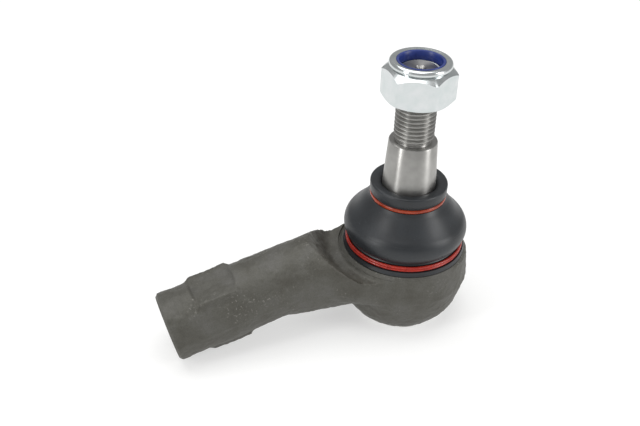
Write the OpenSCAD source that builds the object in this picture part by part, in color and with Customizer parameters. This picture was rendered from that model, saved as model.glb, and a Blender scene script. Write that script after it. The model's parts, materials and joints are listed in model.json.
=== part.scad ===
// Tie rod end: a ball stud in a forged housing with a female-threaded arm.
// Millimetres. The origin is the centre of the ball. +Z runs along the stud
// towards its thread, and the arm points to -X and droops below the ball.

/* [Ball stud] */
// Diameter of the ball
ball_d = 27; // [22:0.5:33]
// Height of the cap cut off the bottom of the ball
ball_cap = 1.1; // [0.5:0.1:2]
// Diameter of the waist between ball and taper
neck_d = 14; // [11.5:0.5:17]
// Height of the plain land that the boot's neck seals on
land_h = 7; // [6.5:0.1:9]
// Height of the taper's large end above the ball's centre
taper_base = 34.5; // [29:0.5:42]
// Length of the taper
taper_len = 17.9; // [13:0.1:22]
// Diameter of the taper's large end
taper_d = 19; // [16:0.1:23]
// Taper on the diameter is 1 in this number
taper_ratio = 8; // [6:1:10]
// Nominal diameter of the stud's thread
thread_d = 14; // [11:1:17]
// Length of the stud's thread
thread_len = 26.4; // [22:0.1:36]

/* [Lock nut] */
// Wall of the nut between its thread and its flats
nut_wall = 4; // [3:0.1:5]
// Height of the whole nut
nut_h = 14; // [11.5:0.5:17]
// Height of the crimped collar above the hexagon's corners
nut_collar_h = 4.4; // [3.6:0.1:5.5]
// Height of the nut's top above the stud's end
nut_over = 3; // [0:0.1:6]
// Turn of the hexagon about the stud
nut_turn = 29; // [0:1:59]
// Height of the locking ring
insert_h = 2.7; // [2:0.1:3]
// Wall of the locking ring that shows inside the crimp
insert_wall = 1; // [0.7:0.1:1.2]

/* [Housing] */
// Wall of the socket around the seat's bore
socket_wall = 8.6; // [7:0.1:11]
// Height of the socket's machined face above the ball's centre
socket_top = 9.5; // [8:0.1:12]
// Depth of the socket's rim below the ball's flat
socket_floor = 6.1; // [5.5:0.1:8]
// Thickness of the bearing seat between ball and bore
seat_wall = 1.85; // [1.5:0.05:2.5]
// Wall of the socket's neck between the throat and the boot
neck_wall = 5.5; // [4.5:0.1:7]
// Height of the socket's neck above the machined face
neck_h = 5; // [4:0.1:6]
// Reach of the cut around the socket that clears the top of the arm
relief_w = 5.5; // [3:0.1:8]
// Depth of that cut below the machined face
relief_drop = 1.5; // [0.5:0.1:3]

/* [Arm] */
// Outside diameter of the arm
arm_d = 24.5; // [20:0.1:30]
// Distance along the arm from the stud's axis to the open end
arm_len = 91.5; // [76:0.5:120]
// Angle of the arm below the horizontal
arm_droop = 13.5; // [5:0.5:16]
// Height where the arm's axis crosses the stud's axis
arm_cross = 14.8; // [8:0.1:16]
// Nominal diameter of the arm's internal thread
bore_thread_d = 16; // [13:1:19]
// Pitch of the arm's internal thread
bore_pitch = 1.5; // [1:0.25:2]
// Length of the arm's internal thread
bore_len = 42; // [30:1:50]
// Depth of the wrench flats below the arm's surface
flats_depth = 1.25; // [0.8:0.05:2]
// Length of the wrench flats
flats_len = 14.5; // [10:0.5:20]
// Width of the wrench pads
flats_w = 17.2; // [12:0.1:20]
// Distance from the open end to the wrench flats
flats_from_end = 12; // [8:0.5:20]

/* [Boot] */
// Reach of the boot's bulge beyond the socket's neck
boot_reach = 3.5; // [2.6:0.1:4.2]
// Radius of the bulge
bulge_r = 6; // [5:0.1:7]
// Height of the bulge's centre above the machined face
bulge_rise = 8.9; // [8:0.1:10]
// Thickness of the boot's wall
boot_wall = 1.8; // [1.4:0.1:2.4]
// Wall of the boot's neck collar around the land
collar_wall = 4.2; // [3.5:0.1:5]
// Height of the boot's neck collar
collar_h = 4.4; // [3:0.1:6]
// Height of the collar's top above the taper's large end
collar_over = 1.6; // [0.5:0.1:3]
// Thickness of one turn of the base ring's wire
wire_d = 1.05; // [0.8:0.05:1.2]
// Height of the neck ring
neck_ring_h = 1.4; // [1:0.1:2]

/* [Hidden] */
$fn = 96;

// Radial clearance of a running fit, and gap between parts that only meet
fit_gap = 0.05;
// Overlap that joins or cuts cleanly
eps = 0.01;
// Small break on a machined edge
edge_break = 0.4;

// Stud
ball_r = ball_d / 2;
ball_flat = ball_r - ball_cap;
neck_r = neck_d / 2;
neck_z = sqrt(ball_r * ball_r - neck_r * neck_r);
land_step = 0.2;
land_r = taper_d / 2 - land_step;
land_base = taper_base - land_h;
waist_z = neck_z + 2.5;
thread_r = thread_d / 2 - fit_gap;
undercut = 0.6;
taper_top = taper_base + taper_len;
taper_small_r = (taper_d - taper_len / taper_ratio) / 2;
taper_chamfer = 0.5;
stud_top = taper_top + thread_len;
stud_chamfer = 1.2;
centre_hole_d = 3.8;
centre_drill_d = 2.2;
centre_hole_depth = 4;

// Nut
nut_z = stud_top + nut_over - nut_h;
nut_af = thread_d + 2 * nut_wall;
nut_hex_h = nut_h - nut_collar_h;
nut_bore_r = thread_r + fit_gap;
nut_countersink = 0.8;
hex_chamfer_angle = 30;
hex_corner_r = nut_af / 2 / cos(30);
crimp_open_r = thread_d / 2 + insert_wall;
crimp_lip = 0.7;
crimp_wall = 1.1;
crimp_round = 1.5;
insert_r = crimp_open_r + crimp_lip;
crimp_r = insert_r + crimp_wall;
insert_z = nut_h - insert_h - 0.6;
insert_rim_h = 0.35;

// Socket
seat_r = ball_r + seat_wall;
bore_r = seat_r + fit_gap;
socket_r = bore_r + socket_wall;
socket_depth = ball_flat + socket_floor;
throat_lip = 2.3;
throat_r = bore_r - throat_lip;
neck_top = socket_top + neck_h;
neck_edge = 1.7;
boot_neck_r = throat_r + neck_wall;
bead_groove = 0.5;
bead_h = 0.9;
face_step = 1.2;
face_r = socket_r - face_step;
draft_z = -1;
draft_h = 2;
draft_in = 2.74;

// Rolled rim and closing plate
lip_h = 1.15;
plate_t = 1.8;
plate_seat = 0.55;
plate_r = bore_r + plate_seat;
rim_hook = 1.4;
rim_in_r = plate_r - rim_hook;
rim_wall = 0.9;
rim_out_r = plate_r + rim_wall;
plate_z = -socket_depth + lip_h;
plate_top = plate_z + plate_t;
dish_depth = 0.7;
dish_slope = 1.5;
dish_r = rim_in_r - 2.5;

// Rounded foot of the socket, from the rim out to the drafted side
foot_start = 62;
foot_end = 14;
foot_step = 0.25;
foot_rise = 1.17;
foot_x = rim_out_r + foot_step;
foot_round = (socket_r - foot_x - draft_in) / (cos(foot_end) - cos(foot_start));
foot_z = -socket_depth + foot_rise + foot_round * sin(foot_start);

// Seats and spring
ball_gap = 0.05;
seat_split = 0.2;
seat_rise = 6.6;
grease_r = 0.9;
drain_r = 4;
spring_t = 0.6;
spring_rise = 0.3;
spring_in_r = 6;
spring_out_r = seat_r - 2;
spring_z = plate_top + fit_gap;
cup_base = spring_z + spring_t + spring_rise + 2 * fit_gap;

// Arm
arm_r = arm_d / 2;
flats_af = arm_d - 2 * flats_depth;
flats_s = arm_len - flats_from_end - flats_len;
bore_minor_r = (bore_thread_d - 1.0825 * bore_pitch) / 2;
bore_mouth_r = bore_thread_d / 2 + 0.6;
drill_tip_angle = 31;
drill_tip = bore_minor_r * tan(drill_tip_angle);
end_chamfer = 0.9;
relief_floor = socket_top - relief_drop;
relief_r = socket_r + relief_w;
root_s = socket_r + 14;
root_in = 1.8;
root_base = -9;

// Boot
boot_base = socket_top + fit_gap;
boot_r = boot_neck_r + boot_reach;
boot_bore_r = land_r + fit_gap;
boot_chamfer = 0.3;
lip_h_in = neck_h - boot_chamfer;
lip_top = boot_base + lip_h_in + edge_break;
bulge_x = boot_r - bulge_r;
bulge_z = socket_top + bulge_rise;
bulge_foot = -49;
bulge_inner_foot = -38;
bulge_cone = 48;
bulge_in_r = bulge_r - boot_wall;
collar_r = land_r + collar_wall;
collar_top = taper_base + collar_over;
collar_z = collar_top - collar_h;
collar_gap = 0.35;
neck_ring_t = 1.3;
neck_ring_round = 0.4;
neck_groove_r = collar_r - neck_ring_t - 2 * fit_gap;
neck_base = collar_z - neck_ring_h - 2 * fit_gap;
base_ring_z = boot_base + 2.75;
wire_pitch = wire_d * 0.9;
base_groove_r = boot_neck_r + 1.6;
base_groove_h = wire_d + fit_gap;
base_ring_r = base_groove_r + fit_gap + wire_d / 2;

// Points on an arc in the profile plane, from angle a0 to a1
function arc(cx, cz, r, a0, a1, n = 16) =
    [for (i = [0:n]) let (a = a0 + (a1 - a0) * i / n) [cx + r * cos(a), cz + r * sin(a)]];

// Moves its children into the arm's own frame: +X of the arm runs to the open end
module along_arm() {
    translate([0, 0, arm_cross]) rotate([0, 90 + arm_droop, 180]) children();
}

// Outer shape of the socket with the neck that the boot grips
module socket_outside() {
    groove_r = boot_neck_r - bead_groove;
    bead_z = neck_top - boot_chamfer;
    rotate_extrude() polygon(concat(
        [[0, -socket_depth], [rim_out_r - edge_break, -socket_depth]],
        [[rim_out_r, -socket_depth + edge_break]],
        arc(foot_x - foot_round * cos(foot_start), foot_z, foot_round, -foot_start, -foot_end, 10),
        [[socket_r, draft_z], [socket_r, draft_z + draft_h], [face_r, socket_top - edge_break]],
        [[face_r - edge_break, socket_top], [groove_r, socket_top], [groove_r, bead_z - bead_h]],
        [[boot_neck_r, bead_z - edge_break], [boot_neck_r, bead_z]],
        [[boot_neck_r - boot_chamfer, neck_top], [0, neck_top]]));
}

// Room inside the socket: rim, plate seat, bore, sphere over the ball, and throat
module socket_inside() {
    dome_z = sqrt(bore_r * bore_r - throat_r * throat_r);
    throat_top_r = boot_neck_r - neck_edge;
    flare = (throat_top_r - throat_r) / (neck_top - dome_z);
    rotate_extrude() polygon(concat(
        [[0, -socket_depth - 1], [rim_in_r, -socket_depth - 1], [rim_in_r, plate_z - eps]],
        [[plate_r + fit_gap, plate_z - eps], [plate_r + fit_gap, plate_top + fit_gap]],
        [[bore_r, plate_top + fit_gap]],
        arc(0, 0, bore_r, 0, asin(dome_z / bore_r), 24),
        [[throat_top_r + flare, neck_top + 1], [0, neck_top + 1]]));
}

// Round arm, its wrench pads, and the root that spreads into the socket
module arm_outside() {
    along_arm() difference() {
        union() {
            cylinder(r = arm_r, h = arm_len - end_chamfer);
            translate([0, 0, arm_len - end_chamfer])
                cylinder(r1 = arm_r, r2 = arm_r - end_chamfer, h = end_chamfer);
            translate([-flats_af / 2, -flats_w / 2, flats_s]) cube([flats_af, flats_w, flats_len]);
        }
        for (side = [-1, 1])
            translate([side * flats_af - flats_af / 2, -arm_r, flats_s])
                cube([flats_af, arm_d, flats_len]);
    }
    hull() {
        along_arm() translate([0, 0, root_s]) cylinder(r = arm_r - 3 * fit_gap, h = 1, $fn = 40);
        translate([0, 0, root_base])
            cylinder(r = socket_r - root_in, h = relief_floor - edge_break - root_base, $fn = 40);
    }
}

// Threaded hole in the arm, drawn at the thread's minor diameter
module arm_bore() {
    mouth_h = bore_mouth_r - bore_minor_r;
    along_arm() {
        translate([0, 0, arm_len - bore_len]) cylinder(r = bore_minor_r, h = bore_len + 1);
        translate([0, 0, arm_len - bore_len - drill_tip])
            cylinder(r1 = 0, r2 = bore_minor_r, h = drill_tip + eps);
        translate([0, 0, arm_len - mouth_h])
            cylinder(r1 = bore_minor_r, r2 = bore_mouth_r + 1, h = mouth_h + 1);
    }
}

// Forged housing: socket and arm in one piece
module housing() {
    color("#5c5b56") difference() {
        union() {
            difference() {
                arm_outside();
                translate([0, 0, relief_floor]) cylinder(r = relief_r, h = arm_d * 2);
            }
            socket_outside();
        }
        socket_inside();
        arm_bore();
    }
}

// Ball stud: ball, waist, land for the boot, taper and thread in one piece
module ball_stud() {
    rise = land_base - waist_z;
    spread = land_r - neck_r;
    waist_r = (rise * rise + spread * spread) / (2 * spread);
    hole_z = stud_top - (centre_hole_d - centre_drill_d) / 2;
    color("#b9b7b4") difference() {
        union() {
            intersection() {
                sphere(r = ball_r);
                translate([0, 0, -ball_flat]) cylinder(r = ball_d, h = ball_d * 2);
            }
            rotate_extrude() polygon(concat(
                [[0, 0], [neck_r, 0], [neck_r, waist_z]],
                arc(neck_r + waist_r, waist_z, waist_r, 180, 180 - asin(rise / waist_r), 10),
                [[land_r, taper_base - edge_break], [taper_d / 2, taper_base]],
                [[taper_small_r + taper_chamfer / taper_ratio / 2, taper_top - taper_chamfer]],
                [[taper_small_r - taper_chamfer, taper_top], [thread_r - undercut, taper_top]],
                [[thread_r - undercut, taper_top + 1], [thread_r, taper_top + 1 + undercut]],
                [[thread_r, stud_top - stud_chamfer], [thread_r - stud_chamfer, stud_top]],
                [[0, stud_top]]));
        }
        translate([0, 0, stud_top - centre_hole_depth])
            cylinder(d = centre_drill_d, h = centre_hole_depth + 1);
        translate([0, 0, hole_z])
            cylinder(d1 = centre_drill_d, d2 = centre_hole_d, h = stud_top - hole_z + eps);
    }
}

// Grease channels down the inside of a seat
module grease_channels() {
    for (i = [0:3]) rotate([0, 0, 45 + 90 * i])
        translate([ball_r, 0, -ball_r]) cylinder(r = grease_r, h = ball_d, $fn = 24);
}

// Moulded bearing ring above the ball's equator
module upper_ball_seat() {
    color("#e4e0d2") difference() {
        intersection() {
            sphere(r = seat_r);
            translate([0, 0, seat_split]) cylinder(r = seat_r + 1, h = seat_rise - seat_split);
        }
        sphere(r = ball_r + ball_gap);
        grease_channels();
    }
}

// Moulded bearing cup below the ball's equator
module lower_ball_seat() {
    color("#e4e0d2") difference() {
        translate([0, 0, cup_base]) cylinder(r = seat_r, h = -cup_base - seat_split);
        sphere(r = ball_r + ball_gap);
        translate([0, 0, cup_base - 1]) cylinder(r = drain_r, h = drain_r);
        grease_channels();
    }
}

// Conical disc spring that loads the cup against the ball
module preload_spring() {
    color("#8c8f94") rotate_extrude() polygon([
        [spring_in_r, spring_z + spring_rise], [spring_out_r, spring_z],
        [spring_out_r, spring_z + spring_t], [spring_in_r, spring_z + spring_rise + spring_t]]);
}

// Pressed steel plate that closes the socket under its rolled rim
module closing_plate() {
    color("#6f6f70") rotate_extrude() polygon([
        [0, plate_z - dish_depth], [dish_r - dish_slope, plate_z - dish_depth], [dish_r, plate_z],
        [plate_r, plate_z], [plate_r, plate_top],
        [dish_r, plate_top], [dish_r - dish_slope, plate_top - dish_depth],
        [0, plate_top - dish_depth]]);
}

// Rubber boot: gripping lip, bulge, cone and neck collar
module dust_boot() {
    lip_r = boot_neck_r + fit_gap;
    bore_top_r = taper_d / 2 + collar_gap;
    color("#26282c") rotate_extrude() polygon(concat(
        [[lip_r, boot_base], [boot_r - boot_chamfer, boot_base], [boot_r, boot_base + edge_break]],
        [[boot_r - boot_chamfer, base_ring_z - base_groove_h]],
        [[base_groove_r, base_ring_z - base_groove_h], [base_groove_r, base_ring_z + base_groove_h]],
        arc(bulge_x, bulge_z, bulge_r, bulge_foot, bulge_cone, 20),
        [[collar_r + edge_break, neck_base - 1.1], [collar_r - boot_chamfer, neck_base]],
        [[neck_groove_r, neck_base], [neck_groove_r, collar_z], [collar_r - boot_chamfer, collar_z]],
        [[collar_r, collar_z + boot_chamfer], [collar_r, collar_top - 0.8]],
        [[collar_r - 0.8, collar_top], [bore_top_r, collar_top]],
        [[bore_top_r, taper_base - 0.6], [boot_bore_r, taper_base - 0.9]],
        [[boot_bore_r, land_base + 0.8], [collar_r - 2.6, neck_base - 2.2]],
        arc(bulge_x, bulge_z, bulge_in_r, bulge_cone, bulge_inner_foot, 16),
        [[lip_r, lip_top]]));
}

// Two-turn wire ring that clamps the boot to the socket's neck
module boot_base_ring() {
    color("#a02a1c") rotate_extrude() for (turn = [-1, 1])
        translate([base_ring_r, base_ring_z + turn * wire_pitch / 2]) circle(d = wire_d, $fn = 32);
}

// Flat ring that clamps the boot's neck to the stud
module boot_neck_ring() {
    ring_in = neck_groove_r + fit_gap;
    round_x = ring_in + neck_ring_t - neck_ring_round;
    color("#d2491f") translate([0, 0, collar_z - neck_ring_h - fit_gap]) rotate_extrude()
        polygon(concat(
            [[ring_in, 0]],
            arc(round_x, neck_ring_round, neck_ring_round, -90, 0, 6),
            arc(round_x, neck_ring_h - neck_ring_round, neck_ring_round, 0, 90, 6),
            [[ring_in, neck_ring_h]]));
}

// Steel body of the nut with its crimped collar
module lock_nut() {
    face_in = 0.6;
    corner_drop = (hex_corner_r - nut_af / 2 + face_in) * tan(hex_chamfer_angle);
    collar_base = nut_hex_h + (hex_corner_r - crimp_r) * tan(hex_chamfer_angle);
    color("#c9ccce") translate([0, 0, nut_z]) difference() {
        union() {
            rotate([0, 0, nut_turn]) intersection() {
                cylinder(r = hex_corner_r, h = collar_base, $fn = 6);
                rotate_extrude() polygon([
                    [0, 0], [nut_af / 2 - face_in, 0], [hex_corner_r, corner_drop],
                    [hex_corner_r, nut_hex_h], [crimp_r, collar_base], [0, collar_base]]);
            }
            rotate_extrude() polygon(concat(
                [[0, collar_base - 1], [crimp_r - eps, collar_base - 1]],
                arc(crimp_r - crimp_round, nut_h - crimp_round, crimp_round, 0, 90, 8),
                [[0, nut_h]]));
        }
        translate([0, 0, -1]) cylinder(r = nut_bore_r, h = nut_h + 2);
        translate([0, 0, -eps])
            cylinder(r1 = nut_bore_r + nut_countersink, r2 = nut_bore_r, h = nut_countersink);
        translate([0, 0, insert_z - fit_gap])
            cylinder(r = insert_r + fit_gap, h = insert_h + 2 * fit_gap);
        translate([0, 0, insert_z + insert_h]) cylinder(r = crimp_open_r + fit_gap, h = 2);
    }
}

// Nylon locking ring inside the nut's collar
module nut_insert() {
    color("#22336b") translate([0, 0, nut_z + insert_z]) difference() {
        union() {
            cylinder(r = insert_r, h = insert_h);
            translate([0, 0, insert_h - eps])
                cylinder(r1 = crimp_open_r, r2 = crimp_open_r - edge_break, h = insert_rim_h);
        }
        translate([0, 0, -1]) cylinder(r = nut_bore_r, h = insert_h + 2);
    }
}

housing();
ball_stud();
upper_ball_seat();
lower_ball_seat();
preload_spring();
closing_plate();
dust_boot();
boot_base_ring();
boot_neck_ring();
lock_nut();
nut_insert();
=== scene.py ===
import json
import math

import bpy
from mathutils import Matrix, Vector


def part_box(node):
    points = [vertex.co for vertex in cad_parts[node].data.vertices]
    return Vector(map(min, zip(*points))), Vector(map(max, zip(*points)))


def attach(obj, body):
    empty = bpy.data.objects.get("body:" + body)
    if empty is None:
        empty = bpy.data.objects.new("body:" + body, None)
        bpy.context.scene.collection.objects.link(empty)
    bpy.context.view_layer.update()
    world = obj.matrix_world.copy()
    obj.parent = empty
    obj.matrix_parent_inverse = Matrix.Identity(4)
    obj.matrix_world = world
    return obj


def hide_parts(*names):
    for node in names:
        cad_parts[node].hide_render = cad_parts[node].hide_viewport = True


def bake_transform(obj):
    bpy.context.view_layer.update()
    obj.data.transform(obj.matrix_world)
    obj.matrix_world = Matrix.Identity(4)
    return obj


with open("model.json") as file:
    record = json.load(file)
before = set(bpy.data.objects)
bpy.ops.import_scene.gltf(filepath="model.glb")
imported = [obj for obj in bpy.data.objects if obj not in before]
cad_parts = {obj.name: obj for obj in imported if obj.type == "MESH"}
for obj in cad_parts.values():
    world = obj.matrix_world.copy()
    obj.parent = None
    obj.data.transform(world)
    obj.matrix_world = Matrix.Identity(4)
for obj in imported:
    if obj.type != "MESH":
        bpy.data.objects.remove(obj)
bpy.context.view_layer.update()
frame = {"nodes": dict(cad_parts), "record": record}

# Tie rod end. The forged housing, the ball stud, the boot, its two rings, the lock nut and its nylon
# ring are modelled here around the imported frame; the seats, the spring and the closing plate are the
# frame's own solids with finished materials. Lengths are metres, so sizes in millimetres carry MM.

MM = 0.001
FULL_TURN = 2 * math.pi

# ---------------------------------------------------------------- sizes, from the frame

housing_low, housing_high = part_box("housing")
boot_low, boot_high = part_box("dust_boot")
wire_low, wire_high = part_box("boot_base_ring")
band_low, band_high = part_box("boot_neck_ring")
nut_low, nut_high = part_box("lock_nut")
insert_low, insert_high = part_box("nut_insert")
mounts = {m["name"]: m for m in frame["record"]["mounts"]}

floor_z = housing_low.z
socket_r = housing_high.x
neck_h = 5 * MM
face_z = housing_high.z - neck_h
stud_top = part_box("ball_stud")[1].z
taper_top = mounts["stud_taper"]["pos_m"][2]
taper_len = 17.9 * MM

# Axis of the arm, and the height where it crosses the stud's axis
arm_mount = mounts["arm_thread"]
arm_axis = Vector(arm_mount["axis"]).normalized()
arm_point = Vector(arm_mount["pos_m"])
arm_cross = arm_point - arm_axis * (arm_point.x / arm_axis.x)
side_axis = Vector((0, 1, 0))
arm_up = side_axis.cross(arm_axis)
ARM = Matrix.Translation(arm_cross) @ Matrix((arm_up, side_axis, arm_axis)).transposed().to_4x4()

arm_r = 12.25 * MM
arm_len = 91.5 * MM
bore_len = 42 * MM
bore_r = arm_mount["dims"]["r_mm"] * MM
thread_pitch = 1.5 * MM

# ---------------------------------------------------------------- mesh helpers


def deselect():
    if bpy.context.object and bpy.context.object.mode != "OBJECT":
        bpy.ops.object.mode_set(mode="OBJECT")
    bpy.ops.object.select_all(action="DESELECT")


def pick(piece):
    """Makes piece the only selected and active object."""
    deselect()
    piece.select_set(True)
    bpy.context.view_layer.objects.active = piece


def start(name, matrix=None):
    """Names the primitive just added and puts its place into its mesh."""
    piece = bpy.context.object
    piece.name = piece.data.name = name
    if matrix:
        piece.matrix_world = matrix
    bpy.ops.object.transform_apply(location=True, rotation=True, scale=True)
    return piece


def rod(name, r, a, b, matrix=Matrix(), sides=128, r_end=None):
    """A round bar along the matrix's Z, from a to b."""
    deselect()
    bpy.ops.mesh.primitive_cone_add(
        vertices=sides, radius1=r, radius2=r if r_end is None else r_end, depth=b - a
    )
    return start(name, matrix @ Matrix.Translation((0, 0, (a + b) / 2)))


def arc(cx, cz, r, a0, a1, steps=10):
    """Points of an arc in the outline's plane, from angle a0 to a1 in degrees."""
    angles = [math.radians(a0 + (a1 - a0) * i / steps) for i in range(steps + 1)]
    return [(cx + r * math.cos(a), cz + r * math.sin(a)) for a in angles]


def draw(name, points):
    """A line drawn point by point: one vertex, extruded from each point to the next. The piece is left
    in edit mode."""
    deselect()
    bpy.ops.mesh.primitive_plane_add(size=MM)
    piece = start(name)
    bpy.ops.object.mode_set(mode="EDIT")
    bpy.ops.mesh.select_all(action="SELECT")
    bpy.ops.mesh.merge(type="COLLAPSE")
    bpy.ops.transform.translate(value=points[0])
    for a, b in zip(points, points[1:]):
        bpy.ops.mesh.extrude_region_move(TRANSFORM_OT_translate={"value": b - a})
    return piece


def turned(name, outline, steps=144):
    """A lathe-turned solid: the outline, (radius, height) in millimetres, is drawn and spun once round
    Z. An outline that doesn't start and end on the axis is closed first."""
    piece = draw(name, [Vector((x * MM, 0, z * MM)) for x, z in outline])
    bpy.ops.mesh.select_all(action="SELECT")
    if outline[0][0] > 0 and outline[-1][0] > 0:
        bpy.ops.mesh.edge_face_add()
        bpy.ops.mesh.delete(type="ONLY_FACE")
        bpy.ops.mesh.select_all(action="SELECT")
    bpy.ops.mesh.spin(steps=steps, angle=FULL_TURN, center=(0, 0, 0), axis=(0, 0, 1))
    bpy.ops.mesh.select_all(action="SELECT")
    bpy.ops.mesh.remove_doubles(threshold=0.0004 * MM)
    bpy.ops.mesh.normals_make_consistent(inside=False)
    bpy.ops.object.mode_set(mode="OBJECT")
    return piece


def apply_modifier(piece, kind, **settings):
    """Adds a modifier of this kind, with its settings, and applies it."""
    pick(piece)
    modifier = piece.modifiers.new(kind.title(), kind)
    for key, value in settings.items():
        setattr(modifier, key, value)
    bpy.ops.object.modifier_apply(modifier=modifier.name)


def combine(piece, other, operation):
    """Adds, cuts away or keeps the part shared with the other solid, which is used up."""
    apply_modifier(piece, "BOOLEAN", object=other, operation=operation, solver="MANIFOLD")
    bpy.data.objects.remove(other, do_unlink=True)


def join(pieces):
    """Puts closed solids into one object, to be fused by a remesh."""
    pick(pieces[0])
    for other in pieces[1:]:
        other.select_set(True)
    bpy.ops.object.join()
    return pieces[0]


def thread_rod(name, major, minor, pitch, a, b, matrix=Matrix(), steps=96):
    """A closed bar with a 60 degree right-hand thread, from a to b along the matrix's Z. One tooth is
    wound past both ends and cut off there."""
    flank = (major - minor) * math.tan(math.radians(30))
    crest = pitch / 8
    root = pitch - crest - 2 * flank
    low = a - 2.3 * pitch
    outline = [
        (minor, 0), (minor, root), (major, root + flank), (major, root + flank + crest), (minor, pitch),
    ]
    piece = draw(name, [Vector((x, 0, low + z)) for x, z in outline])
    bpy.ops.object.mode_set(mode="OBJECT")
    turns = math.ceil((b - a) / pitch) + 4
    apply_modifier(
        piece, "SCREW", axis="Z", angle=FULL_TURN, screw_offset=pitch, iterations=turns,
        steps=steps, render_steps=steps, use_merge_vertices=True, merge_threshold=0.001 * MM,
        use_normal_calculate=True,
    )
    bpy.ops.object.mode_set(mode="EDIT")
    bpy.ops.mesh.select_all(action="SELECT")
    bpy.ops.mesh.remove_doubles(threshold=0.001 * MM)
    for height, direction in ((a, -1), (b, 1)):
        bpy.ops.mesh.select_all(action="SELECT")
        bpy.ops.mesh.bisect(
            plane_co=(0, 0, height), plane_no=(0, 0, direction), use_fill=True, clear_outer=True,
            threshold=0.001 * MM,
        )
    bpy.ops.mesh.select_all(action="SELECT")
    bpy.ops.mesh.normals_make_consistent(inside=False)
    bpy.ops.object.mode_set(mode="OBJECT")
    piece.matrix_world = matrix
    pick(piece)
    bpy.ops.object.transform_apply(location=True, rotation=True, scale=True)
    return piece


def smooth(piece, angle=30):
    pick(piece)
    bpy.ops.object.shade_smooth_by_angle(angle=math.radians(angle))


def finish(piece, material):
    piece.data.materials.clear()
    piece.data.materials.append(material)


def mark_machined(piece, material):
    """Gives the turned and drilled faces of the housing their own bare finish."""
    piece.data.materials.append(material)
    into_arm = ARM.inverted()
    for face in piece.data.polygons:
        local = into_arm @ face.center
        reach = face.center.xy.length
        drop = face_z - face.center.z
        on_face = abs(drop) < 0.03 * MM and reach < 22.3 * MM or drop < 0 and reach < 18.8 * MM
        on_chamfer = abs(reach - chamfer_r * MM - drop) < 0.05 * MM and drop < 1.2 * MM
        in_cavity = reach < 17.4 * MM and abs(face.center.z) < 18.4 * MM
        in_bore = local.z > 40 * MM and local.xy.length < 9 * MM
        at_end = local.z > arm_len - 0.05 * MM
        if on_face or on_chamfer or in_cavity or in_bore or at_end:
            face.material_index = 1


# ---------------------------------------------------------------- materials


def srgb(code):
    """A colour written as an sRGB hex value, made linear."""
    parts = [int(code[i : i + 2], 16) / 255 for i in (1, 3, 5)]
    return [p / 12.92 if p <= 0.04045 else ((p + 0.055) / 1.055) ** 2.4 for p in parts] + [1]


def add_node(tree, kind, links=None, **settings):
    """Adds a node; settings name its properties or inputs, links its inputs and what feeds them."""
    made = tree.nodes.new(kind)
    for key, value in settings.items():
        if hasattr(made, key):
            setattr(made, key, value)
        else:
            made.inputs[key.replace("_", " ")].default_value = value
    for key, source in (links or {}).items():
        target = made.inputs[key if isinstance(key, int) else key.replace("_", " ")]
        tree.links.new(source, target)
    return made


def new_material(name):
    material = bpy.data.materials.new(name)
    material.use_nodes = True
    tree = material.node_tree
    return material, tree, tree.nodes["Principled BSDF"]


def ramp(tree, source, stops):
    """A colour ramp: stops are (place, hex colour)."""
    made = add_node(tree, "ShaderNodeValToRGB", {"Fac": source})
    elements = made.color_ramp.elements
    while len(elements) < len(stops):
        elements.new(0.5)
    for element, (place, code) in zip(elements, stops):
        element.position = place
        element.color = srgb(code)
    return made.outputs["Color"]


def noise(tree, place, size, detail=3, roughness=0.55):
    """Noise whose blotches are about size across, in metres."""
    return add_node(
        tree, "ShaderNodeTexNoise", {"Vector": place}, Scale=1 / size, Detail=detail, Roughness=roughness
    ).outputs["Fac"]


def bump(tree, height, depth, strength=1.0, normal=None):
    links = {"Height": height}
    if normal:
        links["Normal"] = normal
    return add_node(tree, "ShaderNodeBump", links, Strength=strength, Distance=depth).outputs["Normal"]


def levels(tree, source, low, high, to_low=0.0, to_high=1.0):
    return add_node(
        tree, "ShaderNodeMapRange", {"Value": source}, From_Min=low, From_Max=high,
        To_Min=to_low, To_Max=to_high,
    ).outputs["Result"]


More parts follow.
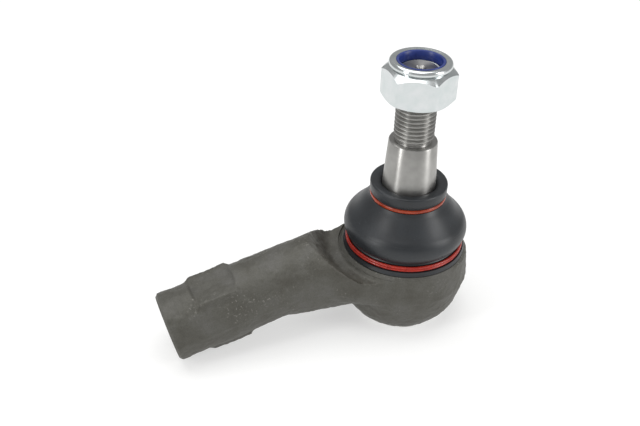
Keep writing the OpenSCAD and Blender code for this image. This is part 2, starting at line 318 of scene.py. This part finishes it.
def phosphated_forging():
    """Drop-forged steel, shot-blasted and zinc-phosphated: a dull warm dark grey with a fine crystal
    grain, soft cloudy patches where the coat is thinner, and small scale pits."""
    material, tree, shader = new_material("phosphated forged steel")
    place = add_node(tree, "ShaderNodeTexCoord").outputs["Object"]
    clouds = noise(tree, place, 9 * MM, 4)
    grain = noise(tree, place, 0.5 * MM, 3, 0.7)
    scale_pits = noise(tree, place, 1.7 * MM, 2, 0.5)
    colour = ramp(tree, clouds, ((0.3, "#48463f"), (0.52, "#54534d"), (0.7, "#5c5b57")))
    speckle = ramp(tree, grain, ((0.3, "#c4c2bd"), (0.62, "#ffffff")))
    mixed = add_node(tree, "ShaderNodeMix", data_type="RGBA", blend_type="MULTIPLY")
    mixed.inputs[0].default_value = 0.55
    tree.links.new(colour, mixed.inputs[6])
    tree.links.new(speckle, mixed.inputs[7])
    # Bare bright specks, in patches, where the coat was rubbed off the high grains
    patch = levels(tree, noise(tree, place, 14 * MM, 2), 0.5, 0.62)
    spots = levels(tree, noise(tree, place, 0.8 * MM, 2), 0.6, 0.72)
    speck = add_node(tree, "ShaderNodeMath", operation="MULTIPLY")
    tree.links.new(patch, speck.inputs[0])
    tree.links.new(spots, speck.inputs[1])
    rubbed = add_node(tree, "ShaderNodeMix", data_type="RGBA")
    tree.links.new(speck.outputs["Value"], rubbed.inputs[0])
    tree.links.new(mixed.outputs[2], rubbed.inputs[6])
    rubbed.inputs[7].default_value = srgb("#7b7973")
    tree.links.new(rubbed.outputs[2], shader.inputs["Base Color"])
    tree.links.new(levels(tree, clouds, 0.3, 0.7, 0.5, 0.62), shader.inputs["Roughness"])
    shader.inputs["Metallic"].default_value = 0.25
    pits = levels(tree, scale_pits, 0.28, 0.4)
    rough = bump(tree, grain, 0.10 * MM, 0.5)
    tree.links.new(bump(tree, pits, 0.08 * MM, 0.35, rough), shader.inputs["Normal"])
    return material


def ground_steel():
    """Alloy steel ground round the axis: clean mid-grey metal with faint rings of grinding marks."""
    material, tree, shader = new_material("ground alloy steel")
    place = add_node(tree, "ShaderNodeTexCoord").outputs["Object"]
    # Real grinding marks are a few hundredths of a millimetre apart; 0.18 mm is the finest that shows
    stretched = add_node(tree, "ShaderNodeMapping", {"Vector": place}, Scale=(0.02, 0.02, 1))
    marks = noise(tree, stretched.outputs["Vector"], 0.18 * MM, 3, 0.7)
    clouds = noise(tree, place, 6 * MM, 3)
    tree.links.new(ramp(tree, clouds, ((0.35, "#9d9c99"), (0.65, "#acaba8"))), shader.inputs["Base Color"])
    shader.inputs["Metallic"].default_value = 1.0
    tree.links.new(levels(tree, marks, 0.3, 0.7, 0.3, 0.4), shader.inputs["Roughness"])
    # Marks that run round the axis spread the highlights along it
    shader.inputs["Anisotropic"].default_value = 0.85
    shader.inputs["Anisotropic Rotation"].default_value = 0.25
    round_z = add_node(tree, "ShaderNodeTangent", direction_type="RADIAL", axis="Z").outputs["Tangent"]
    tree.links.new(round_z, shader.inputs["Tangent"])
    tree.links.new(bump(tree, marks, 0.01 * MM, 0.3), shader.inputs["Normal"])
    return material


def bright_zinc():
    """Clear-passivated zinc plate: bright, slightly cool silver with a soft blur and faint cloudiness."""
    material, tree, shader = new_material("bright zinc plate")
    place = add_node(tree, "ShaderNodeTexCoord").outputs["Object"]
    clouds = noise(tree, place, 4 * MM, 3)
    grain = noise(tree, place, 0.35 * MM, 2)
    tree.links.new(ramp(tree, clouds, ((0.3, "#c6cdcd"), (0.7, "#d4d7d8"))), shader.inputs["Base Color"])
    shader.inputs["Metallic"].default_value = 1.0
    tree.links.new(levels(tree, clouds, 0.3, 0.7, 0.16, 0.26), shader.inputs["Roughness"])
    tree.links.new(bump(tree, grain, 0.01 * MM, 0.25), shader.inputs["Normal"])
    return material


def boot_rubber():
    """Chloroprene rubber, moulded: blue-black satin with a soft wide sheen, faint bloom and fine
    scuffs where it was handled."""
    material, tree, shader = new_material("moulded chloroprene rubber")
    place = add_node(tree, "ShaderNodeTexCoord").outputs["Object"]
    bloom = noise(tree, place, 12 * MM, 3)
    stretched = add_node(
        tree, "ShaderNodeMapping", {"Vector": place}, Rotation=(0.6, 0.4, 0.9), Scale=(1, 0.12, 1)
    )
    scuffs = levels(tree, noise(tree, stretched.outputs["Vector"], 0.7 * MM, 2), 0.68, 0.76)
    base = ramp(tree, bloom, ((0.3, "#1a1c1f"), (0.7, "#23272b")))
    mixed = add_node(tree, "ShaderNodeMix", data_type="RGBA")
    tree.links.new(levels(tree, scuffs, 0, 1, 0, 0.25), mixed.inputs[0])
    tree.links.new(base, mixed.inputs[6])
    mixed.inputs[7].default_value = srgb("#555a61")
    tree.links.new(mixed.outputs[2], shader.inputs["Base Color"])
    tree.links.new(levels(tree, bloom, 0.3, 0.7, 0.36, 0.46), shader.inputs["Roughness"])
    fine = noise(tree, place, 0.6 * MM, 2)
    tree.links.new(bump(tree, fine, 0.02 * MM, 0.4), shader.inputs["Normal"])
    return material


def coated_wire(name, low, high, roughness):
    """Spring steel wire with a thick glossy plastic coat: a strong colour under a clear gloss."""
    material, tree, shader = new_material(name)
    place = add_node(tree, "ShaderNodeTexCoord").outputs["Object"]
    shade = noise(tree, place, 3 * MM, 3)
    tree.links.new(ramp(tree, shade, ((0.3, low), (0.7, high))), shader.inputs["Base Color"])
    sheen = levels(tree, shade, 0.3, 0.7, roughness - 0.05, roughness + 0.05)
    tree.links.new(sheen, shader.inputs["Roughness"])
    tree.links.new(bump(tree, noise(tree, place, 0.4 * MM, 2), 0.01 * MM, 0.3), shader.inputs["Normal"])
    return material


def blue_nylon():
    """Dyed polyamide: dark navy, slightly glossy."""
    material, tree, shader = new_material("dyed polyamide")
    place = add_node(tree, "ShaderNodeTexCoord").outputs["Object"]
    shade = noise(tree, place, 2 * MM, 3)
    tree.links.new(ramp(tree, shade, ((0.3, "#1d2c6a"), (0.7, "#283a80"))), shader.inputs["Base Color"])
    shader.inputs["Roughness"].default_value = 0.34
    tree.links.new(bump(tree, noise(tree, place, 0.5 * MM, 2), 0.02 * MM, 0.3), shader.inputs["Normal"])
    return material


def bearing_plastic():
    """Acetal bearing shell, moulded: ivory, smooth, with faint flow marks."""
    material, tree, shader = new_material("moulded acetal")
    place = add_node(tree, "ShaderNodeTexCoord").outputs["Object"]
    flow = noise(tree, place, 5 * MM, 3)
    tree.links.new(ramp(tree, flow, ((0.3, "#d8d3c2"), (0.7, "#e8e4d6"))), shader.inputs["Base Color"])
    shader.inputs["Roughness"].default_value = 0.38
    tree.links.new(bump(tree, flow, 0.03 * MM, 0.2), shader.inputs["Normal"])
    return material


def pressed_steel(name, low, high, roughness):
    """Cold-rolled sheet, pressed and oiled: darker grey metal with fine rolling streaks."""
    material, tree, shader = new_material(name)
    place = add_node(tree, "ShaderNodeTexCoord").outputs["Object"]
    stretched = add_node(tree, "ShaderNodeMapping", {"Vector": place}, Scale=(1, 0.05, 1))
    streaks = noise(tree, stretched.outputs["Vector"], 0.4 * MM, 3)
    tree.links.new(ramp(tree, streaks, ((0.3, low), (0.7, high))), shader.inputs["Base Color"])
    shader.inputs["Metallic"].default_value = 1.0
    sheen = levels(tree, streaks, 0.3, 0.7, roughness - 0.06, roughness + 0.06)
    tree.links.new(sheen, shader.inputs["Roughness"])
    tree.links.new(bump(tree, streaks, 0.01 * MM, 0.3), shader.inputs["Normal"])
    return material


forged = phosphated_forging()
turned_steel = pressed_steel("turned bare steel", "#b4b3af", "#cac9c5", 0.4)
steel = ground_steel()
zinc = bright_zinc()
rubber = boot_rubber()
red_coat = coated_wire("red coated wire", "#8e1f16", "#b02c1c", 0.28)
orange_coat = coated_wire("orange coated band", "#86290d", "#a33a15", 0.26)
nylon = blue_nylon()

# ---------------------------------------------------------------- housing

# In millimetres and degrees. The socket's cavity, throat, plate seat and rolled rim, and the radius
# where the chamfer starts on the face round the boot
cavity_r = 15.4
throat_r = 13.1
plate_r = 16.0
rim_r = 14.55
chamfer_r = 22.15
# The bowl-shaped relief round the boot
relief_floor = 7.5
relief_lean = 2
relief_lift = 0.35
# The root that spreads from the arm into the socket
belly_z = 3.2
belly_end_z = 1.1
flank_low = -3.5
flank_top = 10.6
# The wrench pads on the arm
pad_half_w = 8.3
pad_h = 10.9
pad_middle = 72.2


def socket_blank():
    """The forged socket before machining, with stock left on top."""
    foot = floor_z / MM
    return turned("socket_blank", [
        (0, foot), (15.4, foot), (16.1, -18.2), (17.0, -17.3), (18.2, -15.9), (19.5, -14.2),
        (20.8, -12.3), (21.7, -10.3), (22.3, -8.3), (22.9, -6.3), (23.4, -4.3), (23.8, -2.3), (24, -0.5),
        (24, 1), (23.7, 3.7), (23.2, 7.5), (22.8, 9.5), (22.75, 12.5), (19.6, 13.5), (19.2, 16), (0, 16),
    ])


def block(name, size, centre, slopes):
    """A block on the arm, size and centre in millimetres in the arm's own directions. The faces
    named in slopes (-1 inner, 1 outer) are shortened along the arm, so the ends slope."""
    deselect()
    bpy.ops.mesh.primitive_cube_add(size=1)
    piece = start(name)
    bpy.ops.object.mode_set(mode="EDIT")
    bpy.ops.mesh.select_mode(type="FACE")
    bpy.ops.mesh.select_all(action="DESELECT")
    bpy.ops.object.mode_set(mode="OBJECT")
    for face in piece.data.polygons:
        face.select = any(face.normal.x * sign > 0.5 for sign in slopes)
    bpy.ops.object.mode_set(mode="EDIT")
    bpy.ops.transform.resize(value=(1, 1, 0.84), center_override=(0, 0, 0))
    bpy.ops.mesh.select_mode(type="VERT")
    bpy.ops.object.mode_set(mode="OBJECT")
    stretch = Matrix.Diagonal((*(Vector(size) * MM), 1))
    piece.matrix_world = ARM @ Matrix.Translation(Vector(centre) * MM) @ stretch
    bpy.ops.object.transform_apply(location=True, rotation=True, scale=True)
    return piece


def arm_blank():
    """The round arm with its wrench pads, top and bottom."""
    return [
        rod("arm_blank", arm_r, 50 * MM, arm_len + 3 * MM, ARM),
        rod("arm_waist", arm_r - 1.1 * MM, 20 * MM, 51 * MM, ARM, r_end=arm_r),
        block("pad", (23, 2 * pad_half_w, 17.4), (0, 0, pad_middle), (-1, 1)),
    ]


def hull(pieces):
    """The skin stretched round several solids."""
    skin = join(pieces)
    bpy.ops.object.mode_set(mode="EDIT")
    bpy.ops.mesh.select_all(action="SELECT")
    bpy.ops.mesh.convex_hull()
    bpy.ops.object.mode_set(mode="OBJECT")
    return skin


def root_blanks():
    """The root: a level round belly under the bend, and flanks that spread to the socket's sides."""
    level = Matrix.Rotation(-math.pi / 2, 4, "Y")
    belly = hull([
        rod("belly", arm_r, 51 * MM, 51.5 * MM, ARM, 64),
        rod("belly_bend", arm_r, 38 * MM, 38.5 * MM, Matrix.Translation((0, 0, belly_z * MM)) @ level, 64),
        rod("belly_end", arm_r, 14 * MM, 20 * MM, Matrix.Translation((0, 0, belly_end_z * MM)) @ level, 64),
    ])
    flanks = hull([
        rod("flanks", arm_r - 0.15 * MM, 38 * MM, 39 * MM, ARM, 64),
        rod("flank_drum", socket_r - 1.7 * MM, flank_low * MM, flank_top * MM, Matrix(), 64),
    ])
    return [belly, flanks]


def relief_cutter():
    """The bowl that clears the boot on top of the root: a flat floor round the socket and a slope up
    to the arm's shoulder. It leans a little, so its back lip stands higher than its front one."""
    cutter = turned("relief", [
        (23.4, 24), (23.4, 8.8), (23.9, 7.8), (24.9, relief_floor), (27.7, relief_floor), (28.9, 8.2),
        (30.4, 9.9), (32.6, 12.3), (34.1, 14.3), (35.1, 15.8), (36.4, 16.9), (38.2, 17.5), (41, 17.2),
        (46, 16.1), (46, 24),
    ])
    lean = Matrix.Rotation(math.radians(relief_lean), 4, "X")
    cutter.matrix_world = Matrix.Translation((0, 0, relief_lift * MM)) @ lean
    bpy.ops.object.transform_apply(location=True, rotation=True, scale=True)
    return cutter


def flats_cutter(sign):
    """Cuts one wrench flat level."""
    return block("flat", (6, 26, 17.6), (sign * (pad_h + 3), 0, pad_middle), (-sign,))


def roughen(piece):
    """Die wear and scale: low swells and small dents, a few tenths of a millimetre at most."""
    for name, size, depth in (("swells", 7 * MM, 0.8 * MM), ("dents", 1.8 * MM, 0.4 * MM)):
        texture = bpy.data.textures.new(name, "CLOUDS")
        texture.noise_scale = size
        texture.noise_depth = 2
        apply_modifier(piece, "DISPLACE", texture=texture, texture_coords="LOCAL", strength=depth)


def raise_parting_line(piece):
    """The flash line left where the two dies met: a low uneven ridge along both sides."""
    width, height = 0.9 * MM, 0.22 * MM
    into_arm = ARM.inverted()
    normals = [v.normal.copy() for v in piece.data.vertices]
    for v, normal in zip(piece.data.vertices, normals):
        local = into_arm @ v.co
        along = local.z
        flat_z = v.co.z + 1 * MM
        off = local.x if along > 34 * MM else flat_z
        if along > 34 * MM or (v.co.x > -8 * MM and v.co.xy.length > 20 * MM):
            ripple = 0.75 + 0.25 * math.sin(along / (2.3 * MM)) * math.sin(v.co.y / (3.1 * MM))
            v.co += normal * height * ripple * math.exp(-((off / width) ** 2))


def build_housing():
    """The housing, made as the real one is: forged blanks fused into one skin, trimmed, roughened, and
    then turned, faced, drilled and tapped."""
    body = join([socket_blank(), *arm_blank(), *root_blanks()])
    apply_modifier(body, "REMESH", mode="VOXEL", voxel_size=0.6 * MM)
    combine(body, relief_cutter(), "DIFFERENCE")
    for sign in (-1, 1):
        combine(body, flats_cutter(sign), "DIFFERENCE")
    apply_modifier(body, "REMESH", mode="VOXEL", voxel_size=0.5 * MM)
    apply_modifier(body, "SMOOTH", factor=0.5, iterations=7)
    roughen(body)
    raise_parting_line(body)
    # The foot and the arm's low edge stand flat on the floor
    combine(body, rod("foot_cut", 150 * MM, floor_z - 20 * MM, floor_z), "DIFFERENCE")
    # Turned faces: the neck under the boot, the face round it, and the chamfer at the face's edge
    face, neck = 9.5, 14.5
    combine(body, turned("facing", [
        (0, neck), (18.3, neck), (18.6, neck - 0.3), (18.6, neck - 0.7), (18.1, neck - 1.3), (18.1, face),
        (chamfer_r, face), (chamfer_r + 1.15, face - 1.15), (chamfer_r + 1.45, face - 1.15),
        (chamfer_r + 1.75, face - 0.5), (25, face - 0.5), (25, 26), (0, 26),
    ]), "DIFFERENCE")
    # The cavity: rolled rim, plate seat, bore, the dome over the ball, and the throat
    dome_end = math.degrees(math.acos(throat_r / cavity_r))
    combine(body, turned("cavity", [
        (0, -20), (rim_r, -20), (rim_r, -17.36), (plate_r, -17.36), (plate_r, -15.5), (cavity_r, -15.5),
        *arc(0, 0, cavity_r, 0, dome_end, 16), (17.3, neck + 1), (0, neck + 1),
    ]), "DIFFERENCE")
    # The arm: faced end with a chamfer, drilled and tapped bore with a countersunk mouth
    combine(body, rod("end_cut", arm_r * 2, arm_len, arm_len + 20 * MM, ARM), "DIFFERENCE")
    shell = rod("end_shell", arm_r * 1.6, arm_len - 0.9 * MM, arm_len + 1 * MM, ARM)
    cone_r = arm_r + 0.1 * MM
    cone = rod("end_cone", cone_r, arm_len - 1 * MM, arm_len + 2 * MM, ARM, r_end=cone_r - 3 * MM)
    combine(shell, cone, "DIFFERENCE")
    combine(body, shell, "DIFFERENCE")
    bore_end = arm_len - bore_len
    tip = bore_r * math.tan(math.radians(31))
    for cutter in (
        thread_rod("tap", bore_r + 0.9 * MM, bore_r, thread_pitch, bore_end, arm_len + 1 * MM, ARM, 64),
        rod("drill_tip", 0.2 * MM, bore_end - tip, bore_end + 0.1 * MM, ARM, r_end=bore_r),
        rod("mouth", bore_r - 0.1 * MM, arm_len - 1.5 * MM, arm_len + 0.5 * MM, ARM, r_end=bore_r + 2 * MM),
    ):
        combine(body, cutter, "DIFFERENCE")
    body.name = body.data.name = "forged_housing"
    smooth(body, 35)
    finish(body, forged)
    mark_machined(body, turned_steel)
    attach(body, "housing")
    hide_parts("housing")
    return body


# ---------------------------------------------------------------- ball stud


def build_stud():
    """The stud: a turned ball, waist, land and 1:8 taper, with the thread fused on top."""
    ball_r, ball_flat_z, neck_r, land_r, taper_r = 13.5, -12.4, 7, 9.3, 9.5
    neck_z = math.sqrt(ball_r ** 2 - neck_r ** 2)
    flat_r = math.sqrt(ball_r ** 2 - ball_flat_z ** 2)
    top = taper_top / MM
    base = (taper_top - taper_len) / MM
    small_r = taper_r - (top - base) / 16
    waist_z, land_z = neck_z + 2.5, base - 7
    rise, spread = land_z - waist_z, land_r - neck_r
    waist_r = (rise ** 2 + spread ** 2) / (2 * spread)
    waist_end = 180 - math.degrees(math.asin(rise / waist_r))
    stud = turned("ball_stud_steel", [
        (0, ball_flat_z), (flat_r - 0.3, ball_flat_z),
        *arc(0, 0, ball_r, -66, 57, 48), (neck_r + 0.4, neck_z + 0.3), (neck_r, neck_z + 1.2),
        *arc(neck_r + waist_r, waist_z, waist_r, 180, waist_end, 10),
        (land_r, base - 0.4), (taper_r, base),
        (small_r + 0.03, top - 0.5), (small_r - 0.14, top - 0.14), (small_r - 0.5, top),
        (6.3, top), (6.0, top + 0.3), (6.0, top + 1.2), (0, top + 1.2),
    ], 192)
    bar = thread_rod("thread", 6.95 * MM, 6.05 * MM, thread_pitch, taper_top + 0.6 * MM, stud_top)
    end_z = stud_top / MM
    combine(bar, turned("envelope", [
        (0, top - 1), (6.2, top - 1), (6.2, top + 1), (7.05, top + 1.9), (7.05, end_z - 1.1),
        (5.85, end_z), (0, end_z),
    ]), "INTERSECT")
    combine(stud, bar, "UNION")
    combine(stud, turned("centre_hole", [
        (0, end_z - 4), (1.1, end_z - 3.4), (1.1, end_z - 0.8), (1.95, end_z + 0.05), (1.95, end_z + 1),
        (0, end_z + 1),
    ], 64), "DIFFERENCE")
    smooth(stud, 28)
    finish(stud, steel)
    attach(stud, "stud")
    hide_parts("ball_stud")
    return stud


# ---------------------------------------------------------------- boot and its rings

# Height where the boot's two halves meet. Then in millimetres and degrees: the fold's arc (its centre's
# radius and height, and its own radius), the wall, and the angle where the fold runs into the cone
boot_seam = 21.5 * MM
bulge = (16.1, 18.4, 6.0)
boot_wall = 1.8
bulge_cone = 48


def build_boot():
    """The boot is one moulding, kept as a lower and an upper piece that meet above its widest fold."""
    cx, cz, r = bulge
    base = boot_low.z / MM
    top = boot_high.z / MM
    outline = [
        (18.65, base), (21.7, base), *arc(21.75, base + 0.35, 0.35, -80, 40, 5),
        (21.75, 11.3), (20.25, 11.15), (20.2, 11.3), (20.2, 13.35), (20.3, 13.5),
        *arc(cx, cz, r, -49, bulge_cone, 96),
        (17.5, 25.3), (16.1, 27.2), (14.6, 28.6), (13.75, 29.5), (13.3, 30.15), (12.15, 30.25),
        (12.1, 31.7), (13.2, 31.75), (13.5, 32.2), (13.6, 33.4),
        *arc(12.9, top - 0.75, 0.75, 8, 88, 5),
        (11.4, top - 0.08), (10.5, top - 0.35), (9.85, top - 0.8), (9.54, 34.9), (9.53, 34.2), (9.36, 33.8),
        (9.36, 29), (10.9, 27.6), (14.2, 25.6),
        *arc(cx, cz, r - boot_wall, bulge_cone, -38, 20), (18.65, 14.65),
    ]
    whole = turned("boot", outline, 160)
    smooth(whole, 50)
    halves = []
    for name, outer_side in (("boot_lower", False), ("boot_upper", True)):
        half = whole.copy()
        half.data = whole.data.copy()
        half.name = half.data.name = name
        bpy.context.scene.collection.objects.link(half)
        pick(half)
        bpy.ops.object.mode_set(mode="EDIT")
        bpy.ops.mesh.select_all(action="SELECT")
        bpy.ops.mesh.bisect(
            plane_co=(0, 0, boot_seam), plane_no=(0, 0, 1), use_fill=True,
            clear_inner=outer_side, clear_outer=not outer_side, threshold=0.001 * MM,
        )
        bpy.ops.object.mode_set(mode="OBJECT")
        finish(half, rubber)
        halves.append(half)
    bpy.data.objects.remove(whole, do_unlink=True)
    lower, upper = halves
    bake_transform(lower)
    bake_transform(upper)
    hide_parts("dust_boot")
    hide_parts("dust_boot")
    return halves


def build_wire_ring():
    """The base ring: one wire wound twice, with a short step from the first turn to the second."""
    wire_r = 0.52 * MM
    radius = wire_high.x - wire_r
    middle = (wire_low.z + wire_high.z) / 2
    pitch = 0.95 * MM
    step_arc = math.radians(24)
    turns = 2 * FULL_TURN - step_arc
    count = 240
    curve = bpy.data.curves.new("base_ring_wire", "CURVE")
    curve.dimensions = "3D"
    curve.bevel_depth = wire_r
    curve.bevel_resolution = 3
    curve.use_fill_caps = True
    spline = curve.splines.new("POLY")
    spline.points.add(count)
    for i, point in enumerate(spline.points):
        angle = turns * i / count
        t = min(1, max(0, (angle - FULL_TURN + step_arc) / step_arc))
        height = middle + pitch * (t * t * (3 - 2 * t) - 0.5)
        turned_to = angle + math.radians(60)
        point.co = (radius * math.cos(turned_to), radius * math.sin(turned_to), height, 1)
    ring = bpy.data.objects.new("base_ring_wire", curve)
    bpy.context.scene.collection.objects.link(ring)
    pick(ring)
    bpy.ops.object.convert(target="MESH")
    ring = bpy.context.object
    smooth(ring, 50)
    finish(ring, red_coat)
    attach(ring, "housing")
    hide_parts("boot_base_ring")
    return ring


def build_neck_ring():
    """The neck ring: a flat band with rounded edges."""
    low, high, outer = band_low.z / MM, band_high.z / MM, band_high.x / MM
    inner = outer - 1.3
    round_r = 0.5
    ring = turned("neck_ring_band", [
        (inner, low + 0.05), *arc(outer - round_r, low + round_r, round_r, -90, 0, 6),
        *arc(outer - round_r, high - round_r, round_r, 0, 90, 6), (inner, high - 0.05),
    ], 160)
    smooth(ring, 50)
    finish(ring, orange_coat)
    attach(ring, "boot_neck")
    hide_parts("boot_neck_ring")
    return ring


# ---------------------------------------------------------------- lock nut


def build_nut():
    """The nut: a turned hexagon with a crimped collar, tapped, and bored out for the nylon ring."""
    z0, z1 = nut_low.z / MM, nut_high.z / MM
    flats_r = 11
    corner = flats_r / math.cos(math.radians(30))
    # A six-sided cone primitive has a corner on +Y, which this puts at 89 degrees
    turn = math.radians(-1)
    chamfer = math.tan(math.radians(38))
    hex_top = z0 + 9.5
    deck_r = 10.0
    deck = hex_top + (corner - deck_r) * chamfer
    nut = rod("lock_nut_steel", corner * MM, z0 * MM, deck * MM, Matrix.Rotation(turn, 4, "Z"), 6)
    apply_modifier(
        nut, "BEVEL", width=0.28 * MM, segments=3, limit_method="ANGLE", angle_limit=math.radians(40)
    )
    combine(nut, turned("hexagon_turning", [
        (0, z0), (10.3, z0), (10.7, z0 + 0.15), (corner + 0.1, z0 + 1.35), (corner + 0.1, hex_top + 0.1),
        (corner - 0.2, hex_top + 0.2), (deck_r, deck - 0.02), (deck_r - 0.2, deck), (0, deck),
    ]), "INTERSECT")
    combine(nut, turned("collar", [
        (0, deck - 1), (9.7, deck - 1), (9.7, deck + 0.12), (9.8, deck + 0.22), (9.95, deck + 0.28),
        *arc(9.3, z1 - 1.2, 1.2, -40, 108, 16), (8.15, z1 - 0.3), (0, z1 - 0.3),
    ]), "UNION")
    low, high = insert_low.z / MM, insert_high.z / MM
    tap = thread_rod("nut_tap", 7.08 * MM, 6.18 * MM, thread_pitch, (z0 - 2) * MM, (low - 0.1) * MM)
    combine(nut, tap, "DIFFERENCE")
    mouth = turned("nut_mouth", [(0, z0 - 1), (8.9, z0 - 1), (6.9, z0 + 1), (0, z0 + 1)])
    combine(nut, mouth, "DIFFERENCE")
    combine(nut, turned("insert_room", [
        (0, low - 0.15), (8.75, low - 0.15), (8.75, high - 0.4), (8.1, high - 0.15), (8.1, z1 - 0.4),
        (8.3, z1 + 0.2), (0, z1 + 0.2),
    ]), "DIFFERENCE")
    smooth(nut, 28)
    finish(nut, zinc)
    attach(nut, "nut")
    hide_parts("lock_nut")
    return nut


def build_insert():
    """The nylon ring: its top lip bulges a little inside the crimp."""
    low, high = insert_low.z / MM, insert_high.z / MM
    ring = turned("nylon_ring", [
        (7.03, low), (8.7, low), (8.7, high - 0.45), (8.05, high - 0.2), (8.0, high + 0.05),
        (7.7, high + 0.12), (7.25, high), (7.05, high - 0.3),
    ], 128)
    smooth(ring, 40)
    finish(ring, nylon)
    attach(ring, "nut_slider")
    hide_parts("nut_insert")
    return ring


# ---------------------------------------------------------------- inner pieces from the frame


def dress_frame_nodes():
    """Gives the seats, the spring and the closing plate their finished materials."""
    seat = bearing_plastic()
    spring = pressed_steel("hardened spring strip", "#5b5d61", "#7c7f84", 0.3)
    plate = pressed_steel("pressed steel plate", "#606061", "#7d7d7c", 0.4)
    for node, material in (
        ("upper_ball_seat", seat),
        ("lower_ball_seat", seat),
        ("preload_spring", spring),
        ("closing_plate", plate),
    ):
        piece = frame["nodes"][node]
        for place in piece.material_slots:
            place.material = material


# ---------------------------------------------------------------- floor, light and camera


def build_stage():
    """A floor of opal acrylic lit a little from below, so the shadows stay pale."""
    deselect()
    bpy.ops.mesh.primitive_plane_add(size=6, location=(0, 0, floor_z))
    floor = start("floor")
    material, tree, shader = new_material("opal acrylic light table")
    shader.inputs["Base Color"].default_value = srgb("#bcbcbb")
    shader.inputs["Roughness"].default_value = 0.9
    shader.inputs["Emission Color"].default_value = srgb("#ffffff")
    shader.inputs["Emission Strength"].default_value = 0.5
    floor.data.materials.append(material)


def area_light(name, place, target, size, power, size_y=None):
    light = bpy.data.lights.new(name, "AREA")
    light.energy = power
    light.size = size
    if size_y:
        light.shape = "RECTANGLE"
        light.size_y = size_y
    lamp = bpy.data.objects.new(name, light)
    lamp.location = place
    lamp.rotation_euler = (Vector(target) - Vector(place)).to_track_quat("-Z", "Y").to_euler()
    bpy.context.scene.collection.objects.link(lamp)


def build_light():
    """A pale surround, a large softbox overhead, a narrow strip on the left and a softbox on the right."""
    scene = bpy.context.scene
    world = bpy.data.worlds.new("studio")
    world.use_nodes = True
    world.node_tree.nodes["Background"].inputs["Color"].default_value = srgb("#ffffff")
    world.node_tree.nodes["Background"].inputs["Strength"].default_value = 0.42
    scene.world = world
    scene.view_settings.view_transform = "Standard"
    middle = (0, 0, 20 * MM)
    area_light("overhead softbox", (-0.1, 0.15, 0.9), middle, 0.9, 6)
    area_light("left strip", (-0.79, -0.16, 0.35), middle, 0.1, 2.6, 0.7)
    area_light("right softbox", (0.6, -0.54, 0.4), middle, 0.26, 3.3, 0.6)


def build_camera():
    """A 49 mm lens, 0.33 m from the ball, looking down at 34 degrees."""
    data = bpy.data.cameras.new("camera")
    data.lens = 49.1
    data.sensor_width = 36
    data.clip_start = 0.01
    camera = bpy.data.objects.new("camera", data)
    back = Vector((-0.3146, -0.76327, 0.56432)).normalized()
    right = Vector((0.93144, -0.36276, 0.0286))
    right = (right - back * right.dot(back)).normalized()
    above = back.cross(right)
    turn = Matrix((right, above, back)).transposed().to_4x4()
    camera.matrix_world = Matrix.Translation((-127.67 * MM, -228.76 * MM, 198.33 * MM)) @ turn
    bpy.context.scene.collection.objects.link(camera)
    bpy.context.scene.camera = camera


build_stage()
build_light()
build_camera()
build_housing()
build_stud()
build_boot()
build_wire_ring()
build_neck_ring()
build_nut()
build_insert()
dress_frame_nodes()
